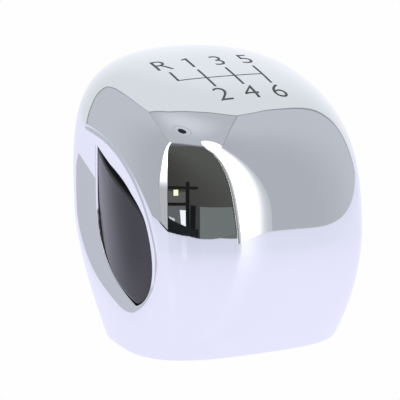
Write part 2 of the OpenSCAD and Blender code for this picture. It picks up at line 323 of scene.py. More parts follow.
def buildShell():
    s, m = shellForm, shellMesh
    lip, wall = s["lipRound"], s["wall"]
    start, _n = castOut(unit(edgePoint(lip, 0) - middle))
    centreDirection = unit(leafMiddle - middle)
    startDirection = unit(start - middle)
    # each column runs on a great circle from the leaf's middle through its start
    away = unit(startDirection - (startDirection @ centreDirection)[:, None] * centreDirection)
    startAngle = np.arccos(startDirection @ centreDirection)

    def direction(angle):
        return np.cos(angle)[:, None] * centreDirection + np.sin(angle)[:, None] * away

    # the crease where the scoop meets the body
    crease = halve(startAngle, np.full(len(startAngle), m["widestTurn"]),
                   lambda angle: scoopDistance(castOut(direction(angle), scooped=False)[0])[0] > 0, 40)
    # the end of each column: the middle plane, or the rim
    rimZ = s["rimRound"]
    plane = np.arctan2(-centreDirection[0], away[:, 0])
    plane = np.where(plane < 0, plane + math.pi, plane)
    endAngle = halve(crease, plane, lambda angle: castOut(direction(angle))[0][:, 2] > rimZ)
    roughEnd, _n = castOut(direction(endAngle))

    def downTo(height, level, inset=0.0):
        # directions in upright planes that meet the surface at one height
        def way(steepness):
            return np.column_stack([level * np.cos(steepness)[:, None], -np.sin(steepness)])

        low, high = (np.full(len(level), angle) for angle in m["steepness"])
        return way(halve(low, high, lambda angle: castOut(way(angle), inset)[0][:, 2] >= height))

    # the border of one half: the rim from the rear to the front, then the middle plane over the crown
    rimTurn = np.linspace(0, math.pi, m["rimSamples"])
    level = np.column_stack([-np.sin(rimTurn), -np.cos(rimTurn)])
    rimWay = downTo(rimZ, level)
    rimWay[[0, -1], 0] = 0
    lean = np.linspace(math.atan2(rimWay[-1, 2], rimWay[-1, 1]),
                       math.atan2(rimWay[0, 2], rimWay[0, 1]) + 2 * math.pi, m["crownSamples"])[1:-1]
    border = np.concatenate([rimWay, np.column_stack([np.zeros(len(lean)), np.cos(lean), np.sin(lean)])])
    borderPoints, _n = castOut(border)
    borderPoints = np.vstack([borderPoints, borderPoints[:1]])
    run = np.concatenate([[0], np.cumsum(np.linalg.norm(np.diff(borderPoints, axis=0), axis=1))])
    # the ends spread evenly along it, and two columns end exactly on the rim's corners
    place = run[[int(np.argmin(np.linalg.norm(borderPoints[:-1] - q, axis=1))) for q in roughEnd]]
    step = (np.diff(place, append=place[:1]) + run[-1] / 2) % run[-1] - run[-1] / 2
    offsets = np.arange(-m["spreadReach"], m["spreadReach"] + 1)
    kernel = np.exp(-0.5 * (offsets / m["spread"]) ** 2)
    kernel /= kernel.sum()
    even = sum(w * np.roll(step, -o) for w, o in zip(kernel, offsets))
    wanted = np.cumsum(even) - even
    drift = place[0] + np.concatenate([[0], np.cumsum(step)[:-1]]) - wanted
    wanted = (wanted + drift.mean()) % run[-1]
    cornerAt = run[[0, len(rimWay) - 1]]
    first, last = (int(np.argmin(np.abs((wanted - corner + run[-1] / 2) % run[-1] - run[-1] / 2)))
                   for corner in cornerAt)
    wanted[first], wanted[last] = cornerAt
    if first > last:
        raise ValueError("the rim's columns run the other way")
    ways = np.vstack([border, border[:1]])
    endDirection = unit(np.stack([np.interp(wanted, run, ways[:, i]) for i in range(3)], 1))

    def aboveRim(directions, shares, rimWay):
        # bends the columns that would dip below the rim on their way
        around = np.arctan2(np.abs(directions[..., 0]), -directions[..., 1])
        lowest = np.interp(around, rimTurn, np.arcsin(unit(rimWay)[:, 2]))
        room = np.arcsin(directions[..., 2]) - lowest
        share = shares[:, None]
        atEnd = np.minimum(room[int(np.argmax(shares))], m["endSpare"])
        spare = m["rimSpare"] * (1 - share) + atEnd * share ** 2
        bend = m["bend"] * spare * (1 - share)
        rise = lowest + (room + spare + np.sqrt((room - spare) ** 2 + bend ** 2)) / 2
        return np.stack([-np.sin(around) * np.cos(rise), -np.cos(around) * np.cos(rise), np.sin(rise)], -1)

    # outside, from the leaf's lip to the crease and on to the end
    fan = np.linspace(0, 1, m["fanRows"] + 1)[:-1]
    angleMm = 1 / m["bodyRadius"]  # a millimetre on the body, as an angle from the middle
    nearCrease = np.array(m["creaseOffsets"]) * angleMm
    squeeze = np.minimum(1, m["creaseShare"] * (crease - startAngle) / -nearCrease[0])
    creaseRows = [crease + offset * (squeeze if offset < 0 else 1) for offset in nearCrease]
    rows = [direction(startAngle + (creaseRows[0] - startAngle) * f) for f in fan]
    rows += [direction(angle) for angle in creaseRows]
    outerStart = direction(creaseRows[-1])
    shares = np.linspace(0, 1, m["sideRows"] + 1)[1:]
    rows += list(aboveRim(arcBetween(outerStart, endDirection, shares), shares, rimWay))
    rows = np.array(rows)
    outerRows, outerNormals = castOut(rows)
    soft = slice(len(fan), len(fan) + len(nearCrease))
    outerRows[soft], outerNormals[soft] = softenCrease(outerRows[soft], rows[soft])
    # lip and wall of the window
    turn = np.radians(np.linspace(90, 0, m["roundRows"]))[:-1]
    lipRows = [edgePoint(lip - lip * math.sin(a), lip - lip * math.cos(a)) for a in turn]
    lipNormals = [edgeNormal * math.cos(a) - edgeOut * math.sin(a) for a in turn]
    chamfer = m["chamfer"]
    wallDepths = [wall - chamfer, *m["wallDepths"]]
    wallRows = [edgePoint(0, d) for d in wallDepths]
    wallNormals = [-edgeOut] * len(wallDepths)
    # inside, from the end back to the window
    innerEndDirection = endDirection.copy()
    rim = np.arange(first, last + 1)
    innerEndDirection[rim] = downTo(rimZ, unit(endDirection[rim, :2]), wall)
    innerEndDirection[[first, last], 0] = 0
    innerStartDirection = unit(edgePoint(chamfer, wall) - middle)
    innerShares = 1 - np.linspace(0, 1, m["innerRows"]) ** m["innerCrowding"]
    innerWay = arcBetween(innerStartDirection, innerEndDirection, innerShares)
    innerRim = downTo(rimZ, level, wall)
    innerRows, innerNormals = castOut(aboveRim(innerWay, innerShares, innerRim), wall)
    innerRows[-1] = edgePoint(chamfer, wall)
    innerNormals = -innerNormals
    innerNormals[-1] = -edgeNormal
    # all ends but the rim's lie on the middle plane
    flat = np.ones(len(endDirection), bool)
    flat[first + 1:last] = False
    outerRows[-1, flat, 0] = 0
    innerRows[0, flat, 0] = 0
    points = np.concatenate([innerRows, wallRows, lipRows, outerRows])
    normals = np.concatenate([innerNormals, wallNormals, lipNormals, outerNormals])
    normals[np.abs(points[..., 0]) < 1e-9, 0] = 0
    body = placedGrid("chromeShell", closed(points), closed(normals))

    # rim: round, flat face, round, from the outside to the inside
    outer, outerN = outerRows[-1][rim], outerNormals[-1][rim]
    inner, innerN = innerRows[0][rim], innerNormals[0][rim]

    def footOf(point, normal):
        # straight down the surface to the plane that the knob rests on
        downhill = normal * normal[:, 2:] - np.array([0, 0, 1])
        return point - downhill * (point[:, 2:] / downhill[:, 2:])

    outerFoot, innerFoot = footOf(outer, outerN), footOf(inner, innerN)
    across = unit(innerFoot - outerFoot)
    flatOut, flatIn = outerFoot + across * s["rimRound"], innerFoot - across * s["rimRound"]
    down = np.tile([0.0, 0.0, -1.0], (len(rim), 1))

    def roundOff(a, corner, b, na, nb, count):
        for t in np.linspace(0, 1, count):
            yield ((1 - t) ** 2 * a + 2 * t * (1 - t) * corner + t * t * b, unit(na * (1 - t) + nb * t))

    strip = list(roundOff(outer, outerFoot, flatOut, outerN, down, m["roundRows"]))
    strip += list(roundOff(flatIn, innerFoot, inner, down, innerN, m["roundRows"]))
    rimPoints, rimNormals = (np.array(row) for row in zip(*strip))
    rimPoints[:, [0, -1], 0] = 0
    rimNormals[:, [0, -1], 0] = 0
    rimPiece = placedGrid("shellRim", rimPoints, rimNormals)
    shell = joinPieces("chromeShell", [body, rimPiece])
    weldAndTurnOut(shell)
    mirror = shell.modifiers.new("otherSide", "MIRROR")
    mirror.merge_threshold = weldDistance
    applyModifiers(shell)
    weldAndTurnOut(shell)
    useStoredNormals(shell)
    return shell


chromeShell = buildShell()
print("chrome shell:", len(chromeShell.data.vertices), "vertices")


# inlays

inlayForm = {
    "faceRadius": 37.0, "faceX": -22.23, "faceY": -1.4, "faceLean": 0.0472,
    # edge rounding: its width, its drop, and how far short of its inner end the painted shade band stops
    "edgeWidth": 0.75, "edgeDrop": 0.6, "shadeStopsShort": 0.4,
    "gap": 0.12, "flangeWidth": 1.2, "flangeThick": 1.3, "clearance": 0.1, "bevel": 0.12, "backRows": 7,
    "leastSlant": 0.4, "steepest": 0.995,
    "faceSteps": (0.14, 0.19, 0.27, 0.38, 0.52, 0.7, 0.95, 1.2, 1.5, 1.8, 2.1, 2.5, 3.1, 4.0), "faceRows": 8,
}
leafInward = unit(leafMiddle - edge)
leafInward = unit(leafInward - (leafInward * edgeNormal).sum(-1, keepdims=True) * edgeNormal)
leafSlant = np.maximum(-(leafInward * edgeOut).sum(-1), inlayForm["leastSlant"])[:, None]


def outlineDistance(p):
    # distance from the leaf's outline, and the way to it
    span = np.roll(edge, -1, axis=0) - edge
    share = ((p[:, None] - edge) * span).sum(-1) / (span * span).sum(-1)
    near = edge + span * np.clip(share, 0, 1)[..., None]
    distance = np.linalg.norm(near - p[:, None], axis=-1)
    nearest = distance.argmin(1)
    rows = np.arange(len(p))
    return distance[rows, nearest], unit(near[rows, nearest] - p)


def buildInlay(name, flip):
    f = inlayForm
    top = shellForm["wall"] + f["clearance"]
    back = top + f["flangeThick"]
    rows, normals = [], []

    def add(out, depth, normal):
        # outside the outline straight out, inside it towards the leaf's middle
        rows.append(edgePoint(out, depth) if out > 0 else onScoop(edge - leafInward / leafSlant * out, depth))
        normals.append(normal)

    def pillow(place):
        # the face is convex from front to rear; its depth below the scoop, and its normal
        across = place[:, 1:2] - f["faceY"]
        bulge = np.sqrt(f["faceRadius"] ** 2 - across ** 2)
        x = f["faceX"] + f["faceRadius"] - bulge - f["faceLean"] * place[:, 2:]
        normal = np.hstack([np.full_like(across, -1), across / bulge, np.full_like(across, -f["faceLean"])])
        return x - place[:, :1], unit(normal)

    def addFace(place):
        distance, wayOut = outlineDistance(place)
        run = np.clip(1 - (distance - f["gap"]) / f["edgeWidth"], 0, f["steepest"])[:, None]
        level = np.sqrt(1 - run ** 2)
        depth, faceNormal = pillow(place)
        rows.append(onScoop(place, depth + f["edgeDrop"] * (1 - level)))
        normals.append(unit(faceNormal + wayOut * run / level * f["edgeDrop"] / f["edgeWidth"]))

    middlePoint = onScoop(leafMiddle[None], 0)
    small = f["bevel"]
    backEdge = edgePoint(f["flangeWidth"] - small, back)
    for t in np.linspace(0, 1, f["backRows"]):
        rows.append(onScoop(middlePoint * (1 - t) + backEdge * t, back))
        normals.append(-edgeNormal)
    add(f["flangeWidth"], back - small, edgeOut)
    add(f["flangeWidth"], top + small, edgeOut)
    add(f["flangeWidth"] - small, top, edgeNormal)
    add(-f["gap"] + small, top, edgeNormal)
    add(-f["gap"], top - small, edgeOut)
    add(-f["gap"], pillow(edge)[0] + f["edgeDrop"], edgeOut)
    edgeRows = len(rows)
    for step in f["faceSteps"]:
        lastPlace = onScoop(edge + leafInward / leafSlant * step, 0)
        addFace(lastPlace)
    for t in np.linspace(0, 1, f["faceRows"] + 1)[1:]:
        addFace(onScoop(lastPlace * (1 - t) + middlePoint * t, 0))
    points, normals = np.array(rows), np.array(normals)
    points[-1] = points[-1].mean(0)
    points[0] = points[0].mean(0)
    if flip:
        points = points * [-1, 1, 1]
    piece = placedGrid(name, closed(points), closed(normals))
    # painted shade: the back, the gap wall and a narrow band along the face's edge take the second material,
    # darker and rougher
    columns = points.shape[1]
    lastEdgeRow = edgeRows + sum(step < f["edgeWidth"] - f["shadeStopsShort"] for step in f["faceSteps"]) - 1
    for face in piece.data.polygons:
        face.material_index = int(face.index // columns < lastEdgeRow)
    weldAndTurnOut(piece)
    useStoredNormals(piece)
    return piece


leftInlay = buildInlay("leftInlay", False)
rightInlay = buildInlay("rightInlay", True)
print("inlays made")


# shift pattern on the crown

patternForm = {
    "pitch": 5.9, "gateY": 0.41, "halfLine": 3.95, "lineWidth": 0.48, "crossWidth": 0.3,
    "frontY": 7.6, "frontHeight": 4.4, "rearY": 6.9, "rearHeight": 4.5,
    "flag": ((-1.1, -0.9), (0, -0.495), (-1.1, -0.54), (0, 0)), "strokeOffset": -0.008, "curveSteps": 6,
    "columns": (-1.5, -0.5, 0.5, 1.5), "front": ("R", "1", "3", "5"), "rear": (None, "2", "4", "6"),
    "proud": 0.02, "thick": 0.15, "cell": 0.7, "reach": 13.0,
}


def crownHeight(x, y):
    low, high = np.full(x.shape, shellForm["waist"]), np.full(x.shape, shellForm["farthest"])
    return halve(low, high, lambda z: bodyField(np.stack([x, y, z], -1)) <= 0, 34)


def flatBar(x0, y0, x1, y1):
    bpy.ops.object.select_all(action="DESELECT")
    bpy.ops.mesh.primitive_plane_add(size=1, location=((x0 + x1) / 2 * mm, (y0 + y1) / 2 * mm, 0))
    bar = bpy.context.object
    bar.scale = (abs(x1 - x0) * mm, abs(y1 - y0) * mm, 1)
    bpy.ops.object.transform_apply(location=True, rotation=True, scale=True)
    return bar


def flatText(word, x, y, height):
    bpy.ops.object.select_all(action="DESELECT")
    bpy.ops.object.text_add(location=(0, 0, 0))
    letter = bpy.context.object
    letter.data.body = word
    letter.data.resolution_u = patternForm["curveSteps"]
    letter.data.offset = patternForm["strokeOffset"]
    bpy.ops.object.convert(target="MESH")
    letter = bpy.context.object
    corners = np.array([v.co[:2] for v in letter.data.vertices])
    lowest, highest = corners.min(0), corners.max(0)
    scale = height * mm / (highest[1] - lowest[1])
    centre = (lowest + highest) / 2
    for v in letter.data.vertices:
        v.co = ((v.co.x - centre[0]) * scale + x * mm, (v.co.y - centre[1]) * scale + y * mm, 0)
    return letter


def buildPattern():
    f = patternForm
    xs = [c * f["pitch"] for c in f["columns"]]
    half, cross = f["lineWidth"] / 2, f["crossWidth"] / 2
    parts = [flatBar(xs[0] - half, f["gateY"] - cross, xs[-1] + half, f["gateY"] + cross)]
    for i, x in enumerate(xs):
        rear = f["halfLine"] if f["rear"][i] else cross
        parts.append(flatBar(x - half, f["gateY"] - rear, x + half, f["gateY"] + f["halfLine"]))
    for i, x in enumerate(xs):
        if f["front"][i]:
            parts.append(flatText(f["front"][i], x, f["gateY"] + f["frontY"], f["frontHeight"]))
        if f["front"][i] == "1":
            # the flag that the font's 1 doesn't have
            top = f["gateY"] + f["frontY"] + f["frontHeight"] / 2
            parts.append(flatBar(x - 1, top - 1, x, top))
            for corner, place in zip(parts[-1].data.vertices, f["flag"]):
                corner.co = ((x + place[0]) * mm, (top + place[1]) * mm, 0)
        if f["rear"][i]:
            parts.append(flatText(f["rear"][i], x, f["gateY"] - f["rearY"], f["rearHeight"]))
    pattern = joinPieces("shiftPattern", parts)
    bpy.ops.object.transform_apply(location=True, rotation=True, scale=True)
    bpy.ops.object.mode_set(mode="EDIT")
    for axis in ((1, 0, 0), (0, 1, 0)):
        for at in np.arange(-f["reach"], f["reach"] + 0.01, f["cell"]):
            bpy.ops.mesh.select_all(action="SELECT")
            bpy.ops.mesh.bisect(plane_co=(at * mm * axis[0], at * mm * axis[1], 0), plane_no=axis)
    bpy.ops.object.mode_set(mode="OBJECT")
    data = pattern.data
    places = np.array([v.co for v in data.vertices]) / mm
    places[:, 2] = crownHeight(places[:, 0], places[:, 1]) + f["proud"]
    data.vertices.foreach_set("co", (places * mm).astype(np.float32).ravel())
    data.update()
    solid = pattern.modifiers.new("depth", "SOLIDIFY")
    solid.thickness = f["thick"] * mm
    solid.offset = -1
    applyModifiers(pattern)
    return pattern


shiftPattern = buildPattern()
print("shift pattern:", len(shiftPattern.data.polygons), "faces")


# materials

# a colour mix has its factor, its two colours and its result at these sockets
mixFactor, mixFirst, mixSecond, mixResult = 0, 6, 7, 2


def mixShaders(tree, share, first, second):
    mix = tree.nodes.new("ShaderNodeMixShader")
    for socket, output in zip(mix.inputs, (share, first, second)):
        tree.links.new(output, socket)
    return mix.outputs["Shader"]


def nodeGroup(name, inputs, outputs):
    group = bpy.data.node_groups.new(name, "ShaderNodeTree")
    for label, kind, value in inputs:
        socket = group.interface.new_socket(name=label, in_out="INPUT", socket_type=kind)
        socket.default_value = value
    for label, kind in outputs:
        group.interface.new_socket(name=label, in_out="OUTPUT", socket_type=kind)
    return group, group.nodes.new("NodeGroupInput"), group.nodes.new("NodeGroupOutput")


def surfaceGroup():
    # colour, roughness and height that vary softly over a surface, with a fine grain
    group, given, out = nodeGroup("surfaceVariation", [
        ("Dark", "NodeSocketColor", (0.1, 0.1, 0.1, 1)), ("Light", "NodeSocketColor", (0.2, 0.2, 0.2, 1)),
        ("Patch Scale", "NodeSocketFloat", 60.0), ("Grain Scale", "NodeSocketFloat", 1800.0),
        ("Rough Low", "NodeSocketFloat", 0.3), ("Rough High", "NodeSocketFloat", 0.4)],
        [("Color", "NodeSocketColor"), ("Roughness", "NodeSocketFloat"), ("Height", "NodeSocketFloat")])
    nodes, links = group.nodes, group.links
    place = nodes.new("ShaderNodeTexCoord")
    patches, grain = nodes.new("ShaderNodeTexNoise"), nodes.new("ShaderNodeTexNoise")
    for noise, scale, detail in ((patches, "Patch Scale", 3), (grain, "Grain Scale", 2)):
        noise.inputs["Detail"].default_value = detail
        links.new(place.outputs["Object"], noise.inputs["Vector"])
        links.new(given.outputs[scale], noise.inputs["Scale"])
    mix = nodes.new("ShaderNodeMix")
    mix.data_type = "RGBA"
    links.new(patches.outputs["Fac"], mix.inputs[mixFactor])
    links.new(given.outputs["Dark"], mix.inputs[mixFirst])
    links.new(given.outputs["Light"], mix.inputs[mixSecond])
    rough = nodes.new("ShaderNodeMapRange")
    links.new(patches.outputs["Fac"], rough.inputs["Value"])
    links.new(given.outputs["Rough Low"], rough.inputs["To Min"])
    links.new(given.outputs["Rough High"], rough.inputs["To Max"])
    links.new(mix.outputs[mixResult], out.inputs["Color"])
    links.new(rough.outputs["Result"], out.inputs["Roughness"])
    links.new(grain.outputs["Fac"], out.inputs["Height"])
    return group


surface = surfaceGroup()


def makeMaterial(name, look):
    material = bpy.data.materials.new(name)
    material.use_nodes = True
    nodes, links = material.node_tree.nodes, material.node_tree.links
    shader = nodes["Principled BSDF"]
    shader.inputs["Metallic"].default_value = look.get("metallic", 0.0)
    shader.inputs["IOR"].default_value = look.get("ior", 1.5)
    shader.inputs["Sheen Weight"].default_value = look.get("sheen", 0.0)
    shader.inputs["Sheen Roughness"].default_value = look.get("sheenRoughness", 0.5)
    shader.inputs["Sheen Tint"].default_value = (*look.get("sheenTint", (1, 1, 1)), 1)
    vary = nodes.new("ShaderNodeGroup")
    vary.node_tree = surface
    vary.inputs["Dark"].default_value = (*look["dark"], 1)
    vary.inputs["Light"].default_value = (*look["light"], 1)
    vary.inputs["Patch Scale"].default_value = look.get("patchScale", 60.0)
    vary.inputs["Grain Scale"].default_value = look.get("grainScale", 1800.0)
    vary.inputs["Rough Low"].default_value = look["rough"][0]
    vary.inputs["Rough High"].default_value = look["rough"][1]
    links.new(vary.outputs["Color"], shader.inputs["Base Color"])
    links.new(vary.outputs["Roughness"], shader.inputs["Roughness"])
    if look.get("bump"):
        bump = nodes.new("ShaderNodeBump")
        bump.inputs["Strength"].default_value = look["bump"]
        bump.inputs["Distance"].default_value = look.get("bumpDepth", 0.00003)
        links.new(vary.outputs["Height"], bump.inputs["Height"])
        links.new(bump.outputs["Normal"], shader.inputs["Normal"])
    return material


looks = {
    "chrome": {"dark": (0.87, 0.88, 0.90), "light": (0.90, 0.91, 0.93), "rough": (0.015, 0.03),
               "metallic": 1.0, "patchScale": 40.0},
    "inlaySatin": {"dark": (0.009, 0.007, 0.013), "light": (0.012, 0.010, 0.017), "rough": (0.24, 0.29),
                   "bump": 0.1, "grainScale": 2500.0, "ior": 1.62, "sheen": 0.28, "sheenRoughness": 0.3,
                   "sheenTint": (0.93, 0.87, 1.0)},
    # painted shade: a darker, rougher, less glossy material for the band along the inlay's edge
    "inlayEdge": {"dark": (0.004, 0.004, 0.005), "light": (0.006, 0.006, 0.007), "rough": (0.55, 0.65),
                  "ior": 1.3},
    "patternPaint": {"dark": (0.075, 0.075, 0.08), "light": (0.14, 0.14, 0.145), "rough": (0.5, 0.6),
                     "patchScale": 900.0},
    "padFoam": {"dark": (0.06, 0.06, 0.065), "light": (0.10, 0.10, 0.105), "rough": (0.85, 0.95),
                "bump": 0.6, "grainScale": 1500.0, "bumpDepth": 0.0002},
    "coreMoulding": {"dark": (0.018, 0.018, 0.02), "light": (0.03, 0.03, 0.033), "rough": (0.45, 0.6),
                     "bump": 0.35, "grainScale": 2200.0},
    "insertBrass": {"dark": (0.62, 0.45, 0.19), "light": (0.78, 0.60, 0.30), "rough": (0.22, 0.34),
                    "metallic": 1.0, "patchScale": 300.0, "bump": 0.1},
    "clipSteel": {"dark": (0.42, 0.43, 0.45), "light": (0.55, 0.56, 0.58), "rough": (0.25, 0.4),
                  "metallic": 1.0},
    "bufferRubber": {"dark": (0.012, 0.012, 0.012), "light": (0.022, 0.022, 0.022), "rough": (0.7, 0.85),
                     "bump": 0.3},
    "coverMoulding": {"dark": (0.022, 0.022, 0.024), "light": (0.034, 0.034, 0.037), "rough": (0.4, 0.52),
                      "bump": 0.4, "grainScale": 2400.0},
    "screwSteel": {"dark": (0.5, 0.5, 0.52), "light": (0.68, 0.68, 0.7), "rough": (0.25, 0.38),
                   "metallic": 1.0},
}
finishes = {name: makeMaterial(name, look) for name, look in looks.items()}


def finishPiece(piece, finish, slot=None, replaced=()):
    places = [face.material_index for face in piece.data.polygons]
    piece.data.materials.clear()
    for name in finish.split("+"):
        piece.data.materials.append(finishes[name])
    piece.data.polygons.foreach_set("material_index", places)
    if slot:
        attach(piece, "root")
        if replaced:
            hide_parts(*replaced)


finishPiece(chromeShell, "chrome", "chrome_plate", ["chrome_shell"])
# the inlays' second material is painted shade along their edges
finishPiece(leftInlay, "inlaySatin+inlayEdge", "inlay_black", ["left_inlay"])
finishPiece(rightInlay, "inlaySatin+inlayEdge", "inlay_black", ["right_inlay"])
finishPiece(shiftPattern, "patternPaint", "inlay_black")
nodeFinishes = {
    "left_pad": "padFoam", "right_pad": "padFoam", "inner_core": "coreMoulding",
    "lever_insert": "insertBrass", "retaining_clip": "clipSteel", "lever_buffer": "bufferRubber",
    "bottom_cover": "coverMoulding", "core_screws": "screwSteel",
}
for node, finish in nodeFinishes.items():
    finishPiece(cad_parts[node], finish)
print("materials set")


# light tent, floor and camera

cameraPlace = {
    "azimuth": 25.828, "elevation": 12.958, "centre": (0.0, 2.10, 27.33), "distance": 429.8,
    "aimRight": -3.196, "aimUp": -1.291, "focalPixels": 2224.0, "framePixels": 400, "sensor": 36.0,
    "nearest": 10.0,
}
tent = {
    "turn": 1.9, "front": 323.0, "left": 476.0, "right": 362.0, "ceiling": 1312.0,
    "back": 700.0, "far": 680.0,
    # edges of the sheets, in mm: front and height, left and height, or front and left
    "leftSheet": ((323, 0), (-460, 0), (-455, 143), (-560, 466), (-535, 776), (-425, 1073), (-355, 1312),
                  (323, 1312)),
    "rightSheet": ((323, 0), (323, 1312), (-552, 1312), (-545, 1132), (-565, 1000), (-503, 715), (-446, 465),
                   (-419, 325), (-399, 65), (-395, 0)),
    "ceilingSheet": ((323, 476), (-355, 476), (-409, 144), (-507, -53), (-560, -193), (-549, -362),
                     (323, -362)),
    "ceilingCorner": ((140, -159), (262, -326), (323, -362), (323, -100), (235, -80)),
    "frontLeftSheet": ((337, 0), (319, 87), (307, 206), (321, 420), (384, 800), (411, 1010), (430, 1312),
                       (462, 1312), (452, 1010), (436, 800), (414, 450), (420, 350), (452, 200), (464, 120),
                       (472, 0)),
    "frontLeftRest": ((400, 200), (400, 1312), (476, 1312), (476, 0), (440, 0)),
    "frontRightSheet": ((-202, 0), (-191, 41), (-181, 91), (-172, 177), (-166, 293), (-161, 514), (-147, 817),
                        (-111, 1017), (-95, 1312), (-362, 1312), (-362, 0)),
    "frontTopSheet": ((418, 1040), (220, 1010), (85, 1124), (-48, 1125), (-108, 1030), (-108, 1312),
                      (430, 1312)),
    "backSheet": ((1300, -1), (-1100, -1), (-1100, 2300), (1300, 2300)),
    "room": ((2500, -1), (-2500, -1), (-2500, 4200), (2500, 4200)),
    # widths of the narrow strips along the sheets
    "softStrip": 10.0, "edgeStrip": 26.0, "seamStrip": 34.0,
    "vent": (20.0, 128.0), "ventRadii": (128.0, 104.0, 56.0), "ventStep": 10,
    # on the floor: what lies beyond its paper, and a grey card
    "darkLeft": ((277, 287), (377, 290), (482, 271), (678, 197), (678, 720), (277, 720)),
    "darkRight": ((678, -220), (423, -270), (326, -292), (326, -720), (678, -720)),
    "greyCard": ((-230, 233), (-79, 117), (-7, 60), (8, 70), (-60, 300), (-230, 476)),
    "paper": (0.99, 0.99, 0.99), "fill": (0.6, 0.6, 0.63),
    # the floor: its gap under the rim, its opening, its corners, and how it mirrors
    "floorGap": 0.4, "opening": 12.0, "floorSpread": 250, "floorCorners": 64, "gloss": 0.3, "glossRough": 0.2,
}
# glows: one colour, or two colours with the places where the first ends and the second begins
glows = {
    "backSheet": {"colours": ((0.95, 0.97, 1.02), (0.745, 0.785, 0.805)), "centre": (-700, -90, 100),
                  "reach": (40, 720)},
    "sideSheet": {"colours": ((0.46, 0.475, 0.52), (0.545, 0.575, 0.625)),
                  "from": (230, 0, 0), "to": (-250, 0, 0)},
    "ceiling": {"colours": ((0.67, 0.685, 0.74), (0.50, 0.52, 0.56)), "centre": (-180, 60, 1312),
                "reach": (60, 420)},
    "cornerPaper": {"colours": ((0.45, 0.465, 0.50), (2.3, 2.3, 2.3)),
                    "from": (150, -159, 1312), "to": (290, -159, 1312)},
    "leftPaper": {"colours": ((0.50, 0.51, 0.53), (2.3, 2.3, 2.3)),
                  "from": (323, 430, 170), "to": (323, 430, 340)},
    "rightPaper": {"colours": ((0.57, 0.59, 0.63), (2.3, 2.3, 2.3)),
                   "from": (323, -362, 0), "to": (323, -240, 0)},
    "topPaper": {"colours": ((0.14, 0.14, 0.16), (0.45, 0.46, 0.49)),
                 "from": (323, 60, 1120), "to": (323, 40, 1312)},
    "softOuter": {"colours": ((0.30, 0.305, 0.31),)},
    "softInner": {"colours": ((0.66, 0.67, 0.68),)},
    "edge": {"colours": ((0.32, 0.335, 0.355),)},
    "seam": {"colours": ((0.37, 0.385, 0.41),)},
    "room": {"colours": ((0.05, 0.05, 0.047), (0.095, 0.098, 0.09)),
             "from": (680, 500, 300), "to": (680, -300, 900)},
    "floor": {"colours": ((0.90, 0.895, 1.07), (0.885, 0.89, 1.06)), "centre": (0, 0, 0), "reach": (60, 330)},
    "greyCard": {"colours": ((0.56, 0.575, 0.645), (0.53, 0.56, 0.61)),
                 "from": (0, 60, 0), "to": (-200, 300, 0)},
    "darkLeft": {"colours": ((0.012, 0.014, 0.015), (0.12, 0.13, 0.125)),
                 "from": (600, 290, 0), "to": (680, 200, 0)},
    "darkRight": {"colours": ((0.15, 0.165, 0.16),)},
    "ventRing": {"colours": ((0.50, 0.52, 0.58),)},
    "vent": {"colours": ((0.03, 0.03, 0.045),)},
}
# what stands in the dark room: left and height of its corners, and its glow
roomThings = (
    (((247, 181), (672, 145), (692, 20), (247, 20)), (0.13, 0.135, 0.14)),
    (((33, 183), (-373, 174), (-419, 0), (41, 0)), (0.17, 0.19, 0.185)),
    (((246, 330), (646, 320), (665, 180), (246, 205)), (0.11, 0.11, 0.105)),
    (((490, 345), (385, 351), (388, 278), (495, 268)), (1.1, 1.1, 0.75)),
    (((366, 138), (255, 142), (250, 40), (350, 34)), (1.0, 1.03, 1.05)),
    (((660, 60), (489, 62), (495, 40), (600, 20)), (0.6, 0.65, 0.67)),
    (((236, 483), (176, 485), (195, 0), (262, 0)), (0.012, 0.012, 0.012)),
    (((170, 190), (90, 190), (110, 0), (190, 0)), (0.01, 0.012, 0.012)),
    (((646, 390), (51, 412), (52, 370), (647, 345)), (0.015, 0.015, 0.015)),
    (((666, 178), (246, 211), (247, 185), (670, 150)), (0.012, 0.012, 0.012)),
    (((700, 48), (60, 36), (60, 0), (700, 0)), (0.015, 0.017, 0.02)),
)


